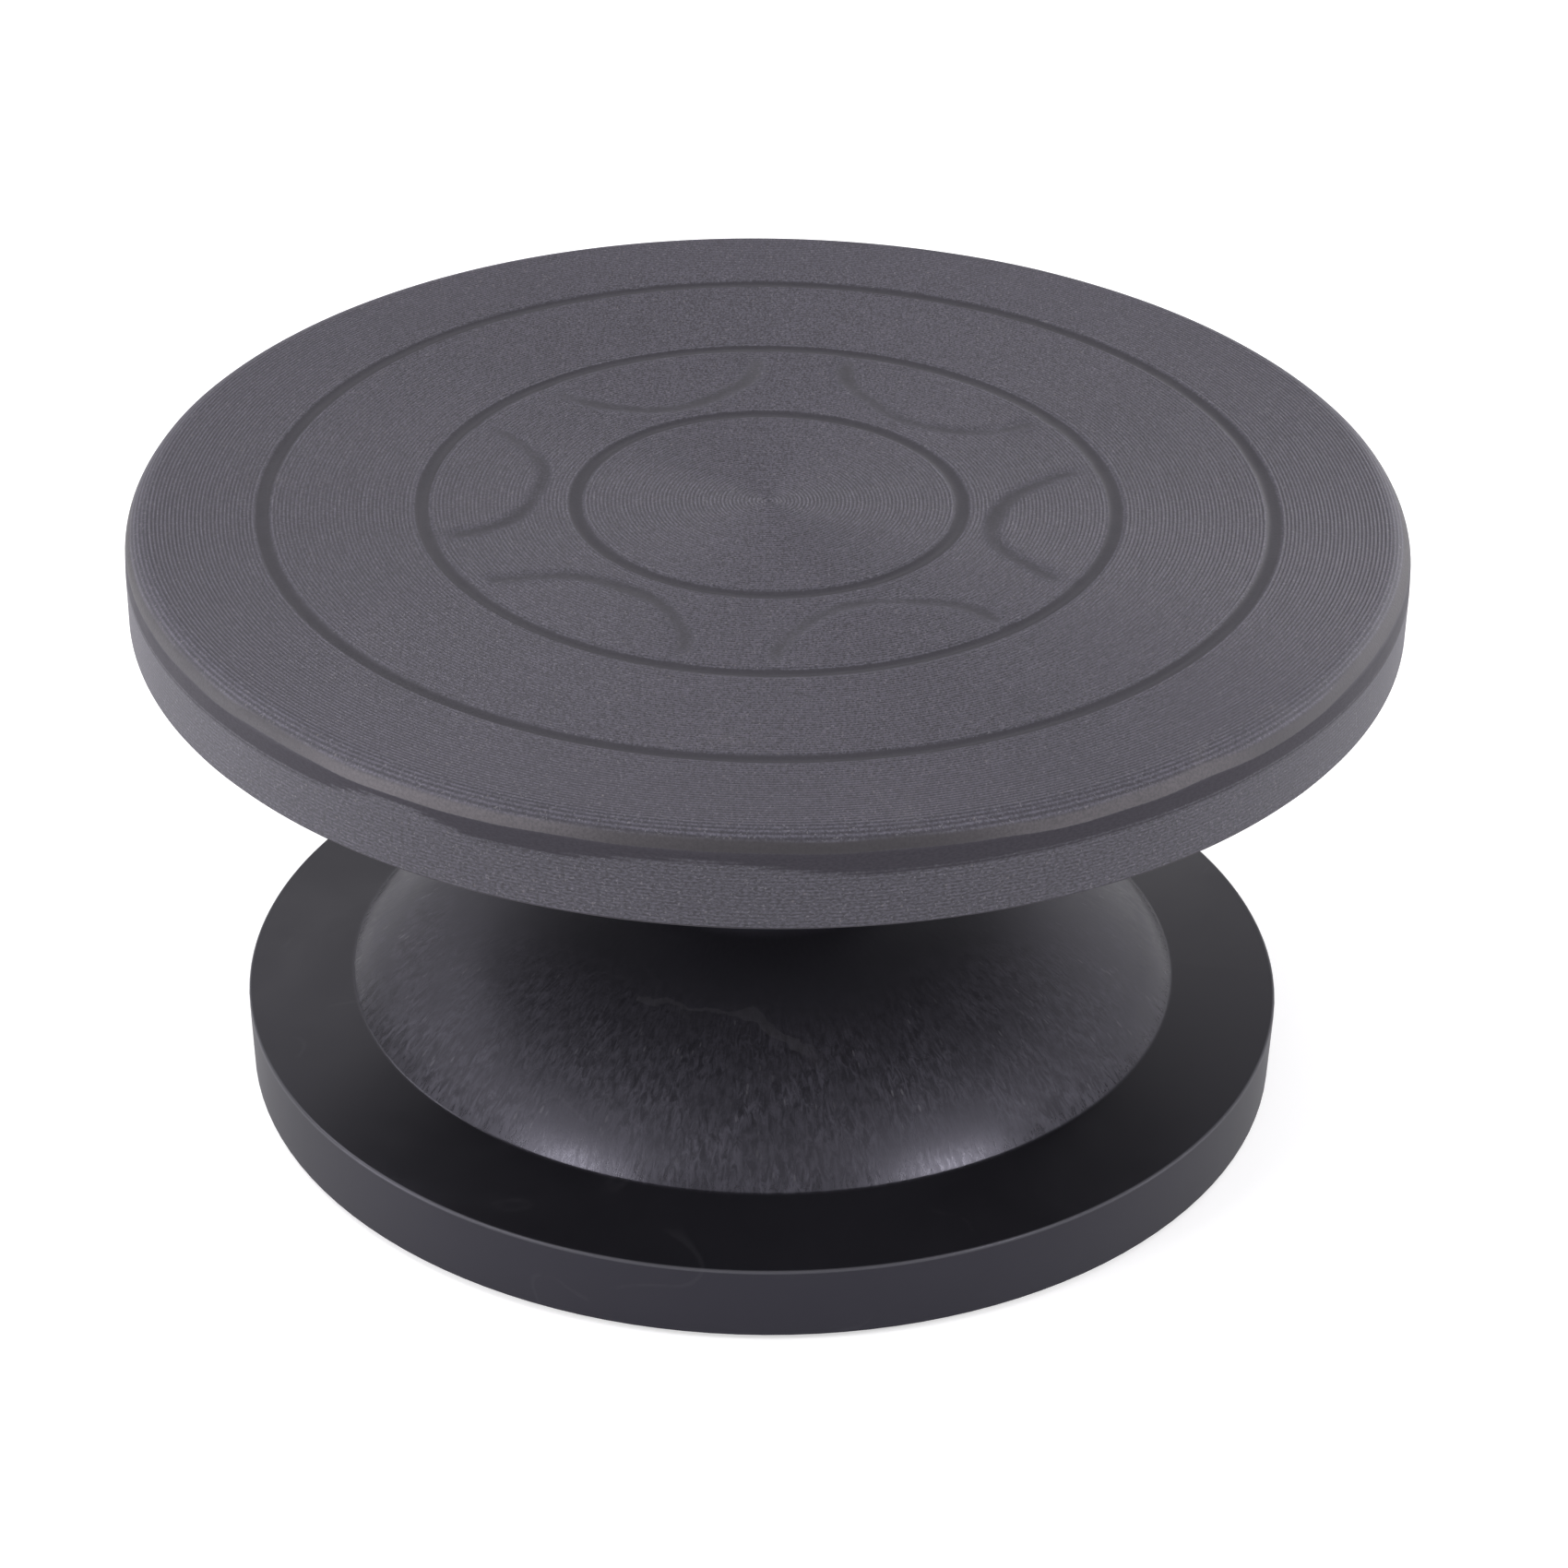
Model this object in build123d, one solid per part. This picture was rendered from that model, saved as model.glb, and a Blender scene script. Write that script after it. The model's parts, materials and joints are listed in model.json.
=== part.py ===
from build123d import *

import os
from math import cos, radians, sin, sqrt

# Sculpting turntable, in millimetres. +Z is up along the spin axis, and the origin is on that
# axis at the level of the rubber feet. Heights are measured from there.

# Plate
PLATE_TOP = 126.0
PLATE_RADIUS = 126.0
RIM_HEIGHT = 19.6
RIM_DRAFT = 0.3
SHOULDER_RADIUS = 5.5
RIM_WALL = 5.0
DECK_THICKNESS = 6.0
GROOVE_RADII = (38.0, 68.0, 99.0)
GROOVE_WIDTH = 4.0
GROOVE_DEPTH = 0.62
CENTRE_PIP_RADIUS = 0.9
CENTRE_PIP_DEPTH = 0.5
PETAL_COUNT = 6
PETAL_START = -7.0
PETAL_CENTRE_RADIUS = 69.8
PETAL_RADIUS = 25.0
PETAL_WIDTH = 4.4
PETAL_DEPTH = 0.3
PETAL_HALF_ANGLE = 55.0
RIB_THICKNESS = 3.0
RIB_CLEARANCE = 4.6
RIB_SINK = 1.5
PLATE_HUB_RADIUS = 38.0

# Base
FOOT_PROTRUSION = 1.5
BASE_RING_RADIUS = 105.9
BASE_RING_DRAFT = 0.6
BASE_RING_EDGE = 16.8
DOME_FOOT_RADIUS = 84.3
DOME_FOOT_HEIGHT = 19.5
DOME_TOP_HEIGHT = 43.9
DOME_LEVEL_RADIUS = 30.0
NECK_FOOT_RADIUS = 27.0
NECK_TOP_RADIUS = 24.5
NECK_TOP = 97.0
NECK_FILLET = 2.5
RING_EDGE_FILLET = 0.6
DOME_FOOT_FILLET = 0.6
SHELL_WALL = 4.0
BASE_RIB_COUNT = 12
BASE_RIB_RISE = 3.5
BASE_HUB_RADIUS = 23.0
BASE_HUB_BOTTOM = 24.0

# Feet
FOOT_COUNT = 6
FOOT_RADIUS = 7.0
FOOT_THICKNESS = 3.5
FOOT_CENTRE_RADIUS = 92.0
FOOT_CHAMFER = 0.6
FOOT_BOSS_WALL = 2.5

# Deep-groove ball bearings, 17 x 35 x 10
BEARING_BORE_RADIUS = 8.5
BEARING_OUTER_RADIUS = 17.5
BEARING_WIDTH = 10.0
BALL_COUNT = 10
BALL_RADIUS = 4.763 / 2
BALL_PITCH_RADIUS = 13.0
RACE_CLEARANCE = 0.04
INNER_SHOULDER_RADIUS = 11.4
OUTER_SHOULDER_RADIUS = 14.6
CAGE_HALF_THICKNESS = 0.8
CAGE_BACK = 3.2
CAGE_PRONG = 1.2
SEAL_THICKNESS = 0.8
SEAL_INSET = 0.1
SEAL_GAP = 0.08
SEAL_SEAT_DEPTH = 0.4
UPPER_BEARING_BOTTOM = 86.0
LOWER_BEARING_BOTTOM = 40.0
BEARING_ABUTMENT_RADIUS = 15.0

# Spindle
SHAFT_COLLAR_RADIUS = 11.0
SHAFT_CHAMFER = 0.8
FLANGE_RADIUS = 36.0
FLANGE_THICKNESS = 6.0
FLANGE_BOTTOM = 102.0
FLANGE_CHAMFER = 0.8
SHAFT_SPIGOT = 4.0
SPACER_RADIUS = 10.8
SHIM_RADIUS = 11.2
SHIM_THICKNESS = 1.0
CIRCLIP_THICKNESS = 1.0
CIRCLIP_RADIUS = 10.4
CIRCLIP_GROOVE_RADIUS = 8.1
CIRCLIP_GAP_ANGLE = 44.0
CIRCLIP_LUG_RADIUS = 1.9
CIRCLIP_EYE_RADIUS = 0.8
SHAFT_TAIL = 4.0

# Screws that hold the flange, M5 x 16 button head
SCREW_COUNT = 6
SCREW_CIRCLE_RADIUS = 29.0
SCREW_RADIUS = 2.5
SCREW_LENGTH = 16.0
SCREW_HEAD_RADIUS = 4.75
SCREW_HEAD_HEIGHT = 2.8
SCREW_HEAD_ROUND = 2.24
SCREW_POINT_CHAMFER = 0.625
SCREW_SOCKET_ACROSS_FLATS = 3.0
SCREW_SOCKET_DEPTH = 1.6
HEXAGON_SIDES = 6
SCREW_HOLE_RADIUS = 2.75
SCREW_PILOT_SPARE = 1.0
LOCK_WASHER_THICKNESS = 1.2
LOCK_WASHER_RADIUS = 4.4
LOCK_WASHER_SLOT = 0.8

# Hub cap
CAP_WALL = 2.6
CAP_FLOOR = 3.0
CAP_LIP_RADIUS = 20.5
CAP_LIP_THICKNESS = 1.5

# Fits
PRESS_GAP = 0.02
LOOSE_GAP = 0.1

# Worked out from the values above
FULL_TURN = 360.0
RIM_BOTTOM = PLATE_TOP - RIM_HEIGHT
DECK_UNDERSIDE = PLATE_TOP - DECK_THICKNESS
FLANGE_TOP = FLANGE_BOTTOM + FLANGE_THICKNESS
SHAFT_TOP = FLANGE_TOP + SHAFT_SPIGOT
UPPER_BEARING_TOP = UPPER_BEARING_BOTTOM + BEARING_WIDTH
LOWER_BEARING_TOP = LOWER_BEARING_BOTTOM + BEARING_WIDTH
SHIM_BOTTOM = LOWER_BEARING_BOTTOM - SHIM_THICKNESS
CIRCLIP_BOTTOM = SHIM_BOTTOM - CIRCLIP_THICKNESS
SHAFT_BOTTOM = CIRCLIP_BOTTOM - SHAFT_TAIL
RACE_RADIUS = BALL_RADIUS + RACE_CLEARANCE
SCREW_SEAT = FLANGE_BOTTOM - LOCK_WASHER_THICKNESS
BASE_BOTTOM = FOOT_PROTRUSION
FOOT_START = FULL_TURN / BASE_RIB_COUNT / 2


def turned(outline):
    """Turns a closed outline, drawn as radius and height, about the Z axis."""
    return revolve(Plane.XZ * make_face(outline), Axis.Z)


def ring(inner_radius, outer_radius, bottom, top):
    """A plain ring about the Z axis."""
    return turned(Polyline(
        (inner_radius, bottom),
        (outer_radius, bottom),
        (outer_radius, top),
        (inner_radius, top),
        close=True,
    ))


def disc(radius, bottom, top):
    """An upright cylinder about the Z axis."""
    upright = (Align.CENTER, Align.CENTER, Align.MIN)
    return Pos(0, 0, bottom) * Cylinder(radius, top - bottom, align=upright)


def around(piece, count, start=0.0):
    """Copies of a piece, evenly spaced about the Z axis."""
    return [Rot(0, 0, start + FULL_TURN * step / count) * piece for step in range(count)]


def valley(width, depth):
    """Radius of a round section that cuts a valley of this width and depth into a flat face."""
    return (width * width / 4 + depth * depth) / (2 * depth)


# Plate

def plate_outline():
    """Half section of the plate: deck, rounded shoulder, drafted rim and the hub for the flange."""
    rim_foot_radius = PLATE_RADIUS - RIM_DRAFT
    rim_inner_radius = rim_foot_radius - RIM_WALL
    pocket_radius = BEARING_BORE_RADIUS + LOOSE_GAP
    pocket_top = SHAFT_TOP + LOOSE_GAP
    shoulder_start = (PLATE_RADIUS - SHOULDER_RADIUS, PLATE_TOP)
    shoulder_end = (PLATE_RADIUS, PLATE_TOP - SHOULDER_RADIUS)
    shoulder = RadiusArc(shoulder_start, shoulder_end, SHOULDER_RADIUS)
    rest = Polyline(
        shoulder_end,
        (rim_foot_radius, RIM_BOTTOM),
        (rim_inner_radius, RIM_BOTTOM),
        (rim_inner_radius - RIM_DRAFT, DECK_UNDERSIDE),
        (PLATE_HUB_RADIUS - RIM_DRAFT, DECK_UNDERSIDE),
        (PLATE_HUB_RADIUS, FLANGE_TOP),
        (pocket_radius, FLANGE_TOP),
        (pocket_radius, pocket_top),
        (0, pocket_top),
        (0, PLATE_TOP),
        shoulder_start,
    )
    return [shoulder, rest]


def spoke(inner_radius, outer_radius):
    """A straight rib section that runs outwards along X."""
    length = outer_radius - inner_radius
    return Pos(inner_radius + length / 2, 0) * Rectangle(length, RIB_THICKNESS)


def plate_ribs():
    """Ribs under the deck: two rings, six bent petals and radial ribs out to the rim."""
    bottom = RIM_BOTTOM + RIB_CLEARANCE
    half = RIB_THICKNESS / 2
    section = Sketch()
    for radius in GROOVE_RADII[1:]:
        section += Circle(radius + half) - Circle(radius - half)
    petal = Pos(PETAL_CENTRE_RADIUS, 0) * (Circle(PETAL_RADIUS + half) - Circle(PETAL_RADIUS - half))
    inside = Circle(GROOVE_RADII[1])
    long_rib = spoke(PLATE_HUB_RADIUS - RIB_THICKNESS, PLATE_RADIUS - RIM_WALL)
    short_rib = spoke(GROOVE_RADII[1], PLATE_RADIUS - RIM_WALL)
    for step in range(PETAL_COUNT):
        turn = Rot(0, 0, PETAL_START + FULL_TURN * step / PETAL_COUNT)
        section += inside & (turn * petal)
        section += turn * short_rib
        section += turn * Rot(0, 0, FULL_TURN / PETAL_COUNT / 2) * long_rib
    return Pos(0, 0, bottom) * extrude(section, DECK_UNDERSIDE + RIB_SINK - bottom)


def petal_hollow():
    """A shallow bent hollow in the plate's top, over the petal rib on the +X side, open outwards."""
    section_radius = valley(PETAL_WIDTH, PETAL_DEPTH)
    centre_height = PLATE_TOP + section_radius - PETAL_DEPTH
    section = Pos(PETAL_RADIUS, centre_height) * Circle(section_radius)
    sweep = revolve(Plane.XZ * section, Axis.Z, 2 * PETAL_HALF_ANGLE)
    return Pos(PETAL_CENTRE_RADIUS, 0, 0) * Rot(0, 0, FULL_TURN / 2 - PETAL_HALF_ANGLE) * sweep


def turntable_plate():
    """The moulded plate that the work stands on."""
    plate = turned(plate_outline()) + plate_ribs()
    groove_section = valley(GROOVE_WIDTH, GROOVE_DEPTH)
    for radius in GROOVE_RADII:
        plate -= Pos(0, 0, PLATE_TOP + groove_section - GROOVE_DEPTH) * Torus(radius, groove_section)
    plate -= around(petal_hollow(), PETAL_COUNT, PETAL_START)
    plate -= turned(Polyline(
        (0, PLATE_TOP - CENTRE_PIP_DEPTH),
        (CENTRE_PIP_RADIUS, PLATE_TOP),
        (0, PLATE_TOP),
        close=True,
    ))
    pilot_top = SCREW_SEAT + SCREW_LENGTH + SCREW_PILOT_SPARE
    pilot = disc(SCREW_RADIUS + PRESS_GAP, FLANGE_TOP, pilot_top)
    plate -= around(Pos(SCREW_CIRCLE_RADIUS, 0, 0) * pilot, SCREW_COUNT)
    return plate


# Base

def dome_arc(wall):
    """Arc of the dome, moved inwards by a wall thickness: its foot, its top and its radius."""
    run = DOME_FOOT_RADIUS - DOME_LEVEL_RADIUS
    rise = DOME_TOP_HEIGHT - DOME_FOOT_HEIGHT
    radius = (run * run + rise * rise) / (2 * rise) - wall
    centre_height = DOME_TOP_HEIGHT - radius - wall
    foot_height = DOME_FOOT_HEIGHT - wall
    foot_radius = DOME_LEVEL_RADIUS + sqrt(radius ** 2 - (foot_height - centre_height) ** 2)
    return (foot_radius, foot_height), (DOME_LEVEL_RADIUS, DOME_TOP_HEIGHT - wall), radius


def base_outer():
    """Outer form of the base as one solid: foot ring, dome and neck."""
    foot, top, radius = dome_arc(0)
    dome = RadiusArc(foot, top, -radius)
    rest = Polyline(
        top,
        (NECK_FOOT_RADIUS, DOME_TOP_HEIGHT),
        (NECK_TOP_RADIUS, NECK_TOP),
        (0, NECK_TOP),
        (0, BASE_BOTTOM),
        (BASE_RING_RADIUS - BASE_RING_DRAFT, BASE_BOTTOM),
        (BASE_RING_RADIUS, BASE_RING_EDGE),
        foot,
    )
    solid = turned([dome, rest])
    circles = solid.edges().filter_by(GeomType.CIRCLE)
    solid = fillet(circle_at(circles, NECK_FOOT_RADIUS, DOME_TOP_HEIGHT), NECK_FILLET)
    circles = solid.edges().filter_by(GeomType.CIRCLE)
    solid = fillet(circle_at(circles, DOME_FOOT_RADIUS, DOME_FOOT_HEIGHT), DOME_FOOT_FILLET)
    circles = solid.edges().filter_by(GeomType.CIRCLE)
    solid = fillet(circle_at(circles, BASE_RING_RADIUS, BASE_RING_EDGE), RING_EDGE_FILLET)
    circles = solid.edges().filter_by(GeomType.CIRCLE)
    return chamfer(circle_at(circles, NECK_TOP_RADIUS, NECK_TOP), RING_EDGE_FILLET)


def circle_at(circles, radius, height):
    """The circular edge that is nearest to a radius and height."""
    def distance(edge):
        return abs(edge.radius - radius) + abs(edge.arc_center.Z - height)
    return sorted(circles, key=distance)[0]


def base_hollow():
    """Space under the dome and the foot ring, open downwards, with the hub left standing."""
    foot, top, radius = dome_arc(SHELL_WALL)
    ring_inner_radius = BASE_RING_RADIUS - BASE_RING_DRAFT - SHELL_WALL
    dome = RadiusArc(foot, top, -radius)
    rest = Polyline(
        top,
        (BASE_HUB_RADIUS, DOME_TOP_HEIGHT - SHELL_WALL),
        (BASE_HUB_RADIUS, BASE_HUB_BOTTOM),
        (0, BASE_HUB_BOTTOM),
        (0, BASE_BOTTOM),
        (ring_inner_radius, BASE_BOTTOM),
        (ring_inner_radius, BASE_RING_EDGE - SHELL_WALL),
        foot,
    )
    return turned([dome, rest])


def base_stiffening():
    """Radial ribs and the six bosses over the feet, cut to the base's outer form later."""
    low = BASE_BOTTOM + BASE_RIB_RISE
    rib_length = BASE_RING_RADIUS - SHELL_WALL
    rib = extrude(Rectangle(rib_length, RIB_THICKNESS), DOME_TOP_HEIGHT - low)
    rib = Pos(rib_length / 2, 0, low) * rib
    boss = disc(FOOT_RADIUS + FOOT_BOSS_WALL, BASE_BOTTOM, DOME_TOP_HEIGHT)
    boss = Pos(FOOT_CENTRE_RADIUS, 0, 0) * boss
    return around(rib, BASE_RIB_COUNT) + around(boss, FOOT_COUNT, FOOT_START)


def base_shell():
    """The base moulding: foot ring, dome, neck, stiffening and the stepped bore for the bearings."""
    outer = base_outer()
    shell = outer - base_hollow()
    below_hub = disc(BASE_HUB_RADIUS, BASE_BOTTOM, BASE_HUB_BOTTOM)
    shell += [(outer & piece) - below_hub for piece in base_stiffening()]
    shell -= disc(BEARING_OUTER_RADIUS, BASE_HUB_BOTTOM, LOWER_BEARING_TOP)
    shell -= disc(BEARING_ABUTMENT_RADIUS, LOWER_BEARING_TOP, UPPER_BEARING_BOTTOM)
    shell -= disc(BEARING_OUTER_RADIUS, UPPER_BEARING_BOTTOM, NECK_TOP)
    recess = disc(FOOT_RADIUS + LOOSE_GAP, BASE_BOTTOM, FOOT_THICKNESS)
    return shell - around(Pos(FOOT_CENTRE_RADIUS, 0, 0) * recess, FOOT_COUNT, FOOT_START)


def rubber_feet():
    """Six rubber discs set into the recesses of the foot ring."""
    foot = disc(FOOT_RADIUS, 0, FOOT_THICKNESS)
    foot = chamfer(foot.edges().group_by(Axis.Z)[0], FOOT_CHAMFER)
    return around(Pos(FOOT_CENTRE_RADIUS, 0, 0) * foot, FOOT_COUNT, FOOT_START)


def hub_cap():
    """Plug in the lower end of the hub; its tube backs up the lower outer ring."""
    outer_radius = BEARING_OUTER_RADIUS - PRESS_GAP
    cap = ring(outer_radius - CAP_WALL, outer_radius, BASE_HUB_BOTTOM, LOWER_BEARING_BOTTOM)
    cap += disc(outer_radius, BASE_HUB_BOTTOM, BASE_HUB_BOTTOM + CAP_FLOOR)
    return cap + disc(CAP_LIP_RADIUS, BASE_HUB_BOTTOM - CAP_LIP_THICKNESS, BASE_HUB_BOTTOM)


# Ball bearings, each built about the height of its lower face

def bearing_race(centre_height):
    """The round channel that the balls run in."""
    return Pos(0, 0, centre_height) * Torus(BALL_PITCH_RADIUS, RACE_RADIUS)


def inner_ring(bottom):
    """Inner ring, a press fit on the shaft."""
    body = ring(BEARING_BORE_RADIUS + PRESS_GAP, INNER_SHOULDER_RADIUS, bottom, bottom + BEARING_WIDTH)
    return body - bearing_race(bottom + BEARING_WIDTH / 2)


def outer_ring(bottom):
    """Outer ring, a press fit in the hub, with a step at each face that holds a seal."""
    top = bottom + BEARING_WIDTH
    seat_height = SEAL_THICKNESS + SEAL_INSET
    seat_radius = OUTER_SHOULDER_RADIUS + SEAL_SEAT_DEPTH
    body = ring(OUTER_SHOULDER_RADIUS, BEARING_OUTER_RADIUS - PRESS_GAP, bottom, top)
    body -= bearing_race(bottom + BEARING_WIDTH / 2)
    body -= disc(seat_radius, bottom, bottom + seat_height)
    return body - disc(seat_radius, top - seat_height, top)


def bearing_seals(bottom):
    """Two rubber-faced washers, held by the outer ring and just clear of the inner ring."""
    inner_radius = INNER_SHOULDER_RADIUS + SEAL_GAP
    outer_radius = OUTER_SHOULDER_RADIUS + SEAL_SEAT_DEPTH - PRESS_GAP
    low = bottom + SEAL_INSET
    high = bottom + BEARING_WIDTH - SEAL_INSET - SEAL_THICKNESS
    return [ring(inner_radius, outer_radius, face, face + SEAL_THICKNESS) for face in (low, high)]


def bearing_balls(bottom):
    """Ten balls at even spacing."""
    ball = Pos(BALL_PITCH_RADIUS, 0, bottom + BEARING_WIDTH / 2) * Sphere(BALL_RADIUS)
    return around(ball, BALL_COUNT)


def bearing_cage(bottom):
    """Crown cage: a ring behind the balls with prongs that reach round them."""
    centre = bottom + BEARING_WIDTH / 2
    inner_radius = BALL_PITCH_RADIUS - CAGE_HALF_THICKNESS
    outer_radius = BALL_PITCH_RADIUS + CAGE_HALF_THICKNESS
    cage = ring(inner_radius, outer_radius, centre - CAGE_BACK, centre + CAGE_PRONG)
    pocket = Pos(BALL_PITCH_RADIUS, 0, centre) * Sphere(RACE_RADIUS)
    return cage - around(pocket, BALL_COUNT)


# Spindle

def spindle_shaft():
    """Shaft with a collar on the upper bearing, a spigot in the plate's hub and a circlip groove."""
    shaft = disc(BEARING_BORE_RADIUS, SHAFT_BOTTOM, SHAFT_TOP)
    shaft = chamfer(shaft.edges().filter_by(GeomType.CIRCLE), SHAFT_CHAMFER)
    shaft += disc(SHAFT_COLLAR_RADIUS, UPPER_BEARING_TOP, FLANGE_BOTTOM)
    groove_low = CIRCLIP_BOTTOM - LOOSE_GAP / 2
    groove_high = SHIM_BOTTOM + LOOSE_GAP / 2
    return shaft - ring(CIRCLIP_GROOVE_RADIUS, SHAFT_COLLAR_RADIUS, groove_low, groove_high)


def spindle_flange():
    """Steel disc pressed on the shaft, with six screw holes."""
    flange = disc(FLANGE_RADIUS, FLANGE_BOTTOM, FLANGE_TOP)
    flange = chamfer(flange.edges().filter_by(GeomType.CIRCLE), FLANGE_CHAMFER)
    flange -= disc(BEARING_BORE_RADIUS + PRESS_GAP, FLANGE_BOTTOM, FLANGE_TOP)
    hole = disc(SCREW_HOLE_RADIUS, FLANGE_BOTTOM, FLANGE_TOP)
    return flange - around(Pos(SCREW_CIRCLE_RADIUS, 0, 0) * hole, SCREW_COUNT)


def flange_screws():
    """Six button-head screws, heads down, with hexagon sockets."""
    shank = disc(SCREW_RADIUS, SCREW_SEAT, SCREW_SEAT + SCREW_LENGTH)
    shank = chamfer(shank.edges().group_by(Axis.Z)[-1], SCREW_POINT_CHAMFER)
    head = disc(SCREW_HEAD_RADIUS, SCREW_SEAT - SCREW_HEAD_HEIGHT, SCREW_SEAT)
    head = fillet(head.edges().group_by(Axis.Z)[0], SCREW_HEAD_ROUND)
    socket = RegularPolygon(SCREW_SOCKET_ACROSS_FLATS / 2, HEXAGON_SIDES, major_radius=False)
    socket = extrude(socket, SCREW_SOCKET_DEPTH)
    screw = shank + head - Pos(0, 0, SCREW_SEAT - SCREW_HEAD_HEIGHT) * socket
    return around(Pos(SCREW_CIRCLE_RADIUS, 0, 0) * screw, SCREW_COUNT)


def flange_lock_washers():
    """Six split washers between the screw heads and the flange."""
    washer = ring(SCREW_RADIUS + LOOSE_GAP, LOCK_WASHER_RADIUS, SCREW_SEAT, FLANGE_BOTTOM)
    slot_centre = (SCREW_RADIUS + LOCK_WASHER_RADIUS) / 2
    washer -= Pos(slot_centre, 0, FLANGE_BOTTOM) * Box(SCREW_RADIUS, LOCK_WASHER_SLOT, SCREW_RADIUS * 2)
    return around(Pos(SCREW_CIRCLE_RADIUS, 0, 0) * washer, SCREW_COUNT)


def bearing_spacer():
    """Sleeve on the shaft between the two inner rings."""
    return ring(BEARING_BORE_RADIUS + PRESS_GAP, SPACER_RADIUS, LOWER_BEARING_TOP, UPPER_BEARING_BOTTOM)


def shim_washer():
    """Washer between the lower inner ring and the circlip."""
    return ring(BEARING_BORE_RADIUS + LOOSE_GAP, SHIM_RADIUS, SHIM_BOTTOM, LOWER_BEARING_BOTTOM)


def circlip():
    """Open retaining ring with two lugs, in the groove of the shaft."""
    half_gap = radians(CIRCLIP_GAP_ANGLE / 2)
    reach = 2 * CIRCLIP_RADIUS
    opening = Polyline(
        (0, 0),
        (reach * cos(half_gap), -reach * sin(half_gap)),
        (reach * cos(half_gap), reach * sin(half_gap)),
        close=True,
    )
    section = Circle(CIRCLIP_RADIUS) - make_face(opening)
    lug_at = Pos(CIRCLIP_RADIUS, 0)
    for side in (-1, 1):
        turn = Rot(0, 0, side * (CIRCLIP_GAP_ANGLE / 2 + CIRCLIP_LUG_RADIUS))
        section += turn * lug_at * Circle(CIRCLIP_LUG_RADIUS)
        section -= turn * lug_at * Circle(CIRCLIP_EYE_RADIUS)
    section -= Circle(CIRCLIP_GROOVE_RADIUS + PRESS_GAP)
    return Pos(0, 0, CIRCLIP_BOTTOM) * extrude(section, CIRCLIP_THICKNESS)


NODES = {
    "turntable_plate": turntable_plate(),
    "spindle_flange": spindle_flange(),
    "spindle_shaft": spindle_shaft(),
    "flange_screws": flange_screws(),
    "flange_lock_washers": flange_lock_washers(),
    "bearing_spacer": bearing_spacer(),
    "shim_washer": shim_washer(),
    "circlip": circlip(),
    "upper_inner_ring": inner_ring(UPPER_BEARING_BOTTOM),
    "upper_outer_ring": outer_ring(UPPER_BEARING_BOTTOM),
    "upper_balls": bearing_balls(UPPER_BEARING_BOTTOM),
    "upper_cage": bearing_cage(UPPER_BEARING_BOTTOM),
    "upper_seals": bearing_seals(UPPER_BEARING_BOTTOM),
    "lower_inner_ring": inner_ring(LOWER_BEARING_BOTTOM),
    "lower_outer_ring": outer_ring(LOWER_BEARING_BOTTOM),
    "lower_balls": bearing_balls(LOWER_BEARING_BOTTOM),
    "lower_cage": bearing_cage(LOWER_BEARING_BOTTOM),
    "lower_seals": bearing_seals(LOWER_BEARING_BOTTOM),
    "base_shell": base_shell(),
    "hub_cap": hub_cap(),
    "rubber_feet": rubber_feet(),
}

os.makedirs("parts", exist_ok=True)
for name, shape in NODES.items():
    if isinstance(shape, list):
        shape = Compound(children=shape)
    shape.label = name
    export_step(shape, "parts/" + name + ".step")
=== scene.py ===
import json
import math

import bmesh
import bpy
import numpy as np
from mathutils import Matrix, Vector


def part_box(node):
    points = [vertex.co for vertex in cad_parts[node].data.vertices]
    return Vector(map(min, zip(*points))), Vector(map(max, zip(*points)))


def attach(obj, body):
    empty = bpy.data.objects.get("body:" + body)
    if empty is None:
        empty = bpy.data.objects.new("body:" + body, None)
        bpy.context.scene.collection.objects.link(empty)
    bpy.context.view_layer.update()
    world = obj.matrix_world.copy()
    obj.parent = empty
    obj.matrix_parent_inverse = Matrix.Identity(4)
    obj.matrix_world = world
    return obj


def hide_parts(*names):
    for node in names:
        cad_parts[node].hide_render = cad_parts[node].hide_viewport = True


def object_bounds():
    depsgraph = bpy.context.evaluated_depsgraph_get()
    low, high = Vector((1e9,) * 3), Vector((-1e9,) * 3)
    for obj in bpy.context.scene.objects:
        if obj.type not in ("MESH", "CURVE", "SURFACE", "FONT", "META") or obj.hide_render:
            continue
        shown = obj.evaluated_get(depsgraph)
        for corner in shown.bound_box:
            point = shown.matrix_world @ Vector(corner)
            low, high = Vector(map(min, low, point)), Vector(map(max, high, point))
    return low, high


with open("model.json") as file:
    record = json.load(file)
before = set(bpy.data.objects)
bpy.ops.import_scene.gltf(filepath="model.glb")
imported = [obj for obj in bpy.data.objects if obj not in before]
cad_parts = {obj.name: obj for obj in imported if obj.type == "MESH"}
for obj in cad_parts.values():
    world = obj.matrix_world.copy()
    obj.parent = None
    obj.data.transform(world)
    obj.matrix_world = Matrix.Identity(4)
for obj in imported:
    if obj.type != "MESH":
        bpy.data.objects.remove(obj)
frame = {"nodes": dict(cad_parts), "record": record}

cad_low, cad_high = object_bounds()

MM = 0.001
TURN = 2 * math.pi

# Places from the frame
plate_low, plate_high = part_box("turntable_plate")
PLATE_RADIUS = plate_high.x
PLATE_TOP = plate_high.z
RIM_HEIGHT = plate_high.z - plate_low.z
RING_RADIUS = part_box("base_shell")[1].x
MIDDLE = Vector((0, 0, (cad_low.z + cad_high.z) / 2))

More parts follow.
